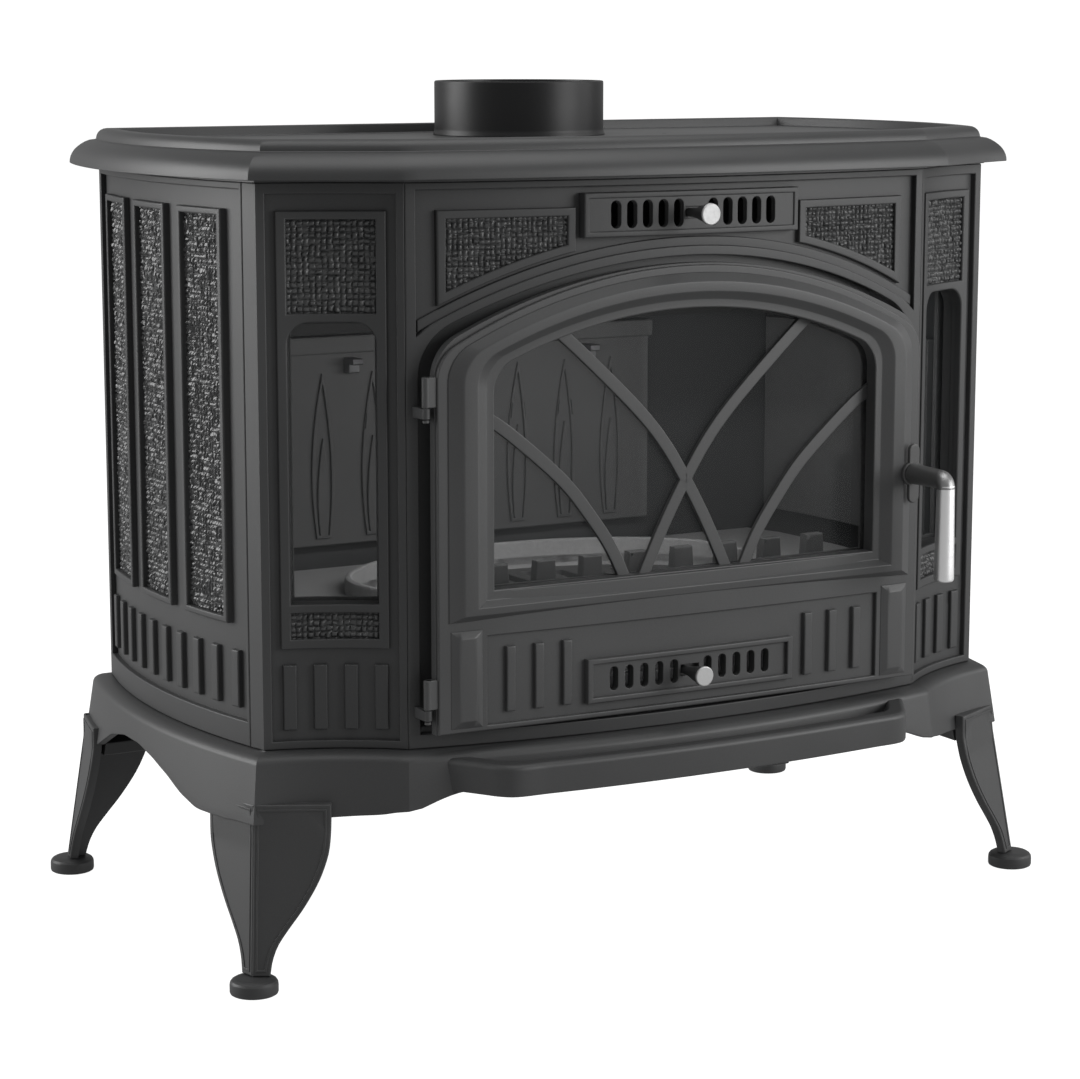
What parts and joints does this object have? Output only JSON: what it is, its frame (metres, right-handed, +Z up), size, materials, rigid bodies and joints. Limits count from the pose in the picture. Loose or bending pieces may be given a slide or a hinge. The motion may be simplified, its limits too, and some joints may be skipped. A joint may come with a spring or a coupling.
{
  "type": "wood burning stove",
  "caption": "Free-standing cast-iron wood stove with an arched glass door, glazed corner panels, sliding air vents, an ash lip, a top flue collar and splayed legs.",
  "frame": {"origin": "on the floor under the middle of the stove's bounding box", "axes": "+X to the stove's right as seen from in front of the door, +Y towards the back, +Z up; the door faces -Y"},
  "size_m": [0.796, 0.5288, 0.7093],
  "materials": {
    "cast_iron": "matte black stove paint over fine sand-cast texture",
    "firebox_iron": "dull dark grey, slightly sooty",
    "bright_steel": "satin nickel plate",
    "window_glass": "clear polished heat-proof glass",
    "rope_seal": "braided glass-fibre rope",
    "plated_steel": "dull zinc plate"
  },
  "bodies": {
    "root": {"base_casting": "cast_iron", "leg_front_right": "cast_iron", "leg_front_left": "cast_iron", "leg_back_right": "cast_iron", "leg_back_left": "cast_iron", "foot_front_right": "cast_iron", "foot_front_left": "cast_iron", "foot_back_right": "cast_iron", "foot_back_left": "cast_iron", "front_frame": "cast_iron", "upper_vent_cover": "cast_iron", "corner_panel_right": "cast_iron", "corner_panel_left": "cast_iron", "side_panel_right": "cast_iron", "side_panel_left": "cast_iron", "back_panel": "cast_iron", "top_plate": "cast_iron", "flue_collar": "cast_iron", "lip_bracket": "cast_iron", "side_glass_retainer_right": "firebox_iron", "side_glass_retainer_left": "firebox_iron", "lining_side_right": "firebox_iron", "lining_side_left": "firebox_iron", "rear_shield": "firebox_iron", "lining_back": "firebox_iron", "baffle": "firebox_iron", "hearth_ring": "firebox_iron", "grate": "firebox_iron", "log_guard": "firebox_iron", "side_glass_right": "window_glass", "side_glass_left": "window_glass", "leg_bolt_front_right": "plated_steel", "leg_bolt_front_left": "plated_steel", "leg_bolt_back_right": "plated_steel", "leg_bolt_back_left": "plated_steel", "baffle_hook_right": "plated_steel", "baffle_hook_left": "plated_steel", "hinge_pin_upper": "plated_steel", "hinge_pin_lower": "plated_steel", "latch_keeper": "plated_steel", "ash_pan": "plated_steel"},
    "door": {"door": "cast_iron", "door_glass": "window_glass", "window_tracery": "cast_iron", "door_seal": "rope_seal", "glass_holder": "firebox_iron", "lower_slide_guard": "firebox_iron", "handle_plate": "firebox_iron"},
    "handle": {"handle_arm": "cast_iron", "handle_grip": "bright_steel", "latch_cam": "plated_steel"},
    "upper_slide": {"upper_air_slide": "cast_iron", "upper_knob_cap": "bright_steel"},
    "lower_slide": {"lower_air_slide": "cast_iron", "lower_knob_cap": "bright_steel"}
  },
  "joints": [
    {"name": "door_swing", "type": "hinge", "parent": "root", "child": "door", "pos_m": [-0.2395, -0.19609, 0.35], "axis": [0, 0, -1], "range_deg": [0, 110]},
    {"name": "handle_turn", "type": "hinge", "parent": "door", "child": "handle", "pos_m": [0.2195, -0.2013, 0.38], "axis": [0, -1, 0], "range_deg": [0, 75]},
    {"name": "upper_air_travel", "type": "slide", "parent": "root", "child": "upper_slide", "axis": [1, 0, 0], "range_m": [0, 0.0072]},
    {"name": "lower_air_travel", "type": "slide", "parent": "door", "child": "lower_slide", "axis": [1, 0, 0], "range_m": [0, 0.0072]}
  ]
}
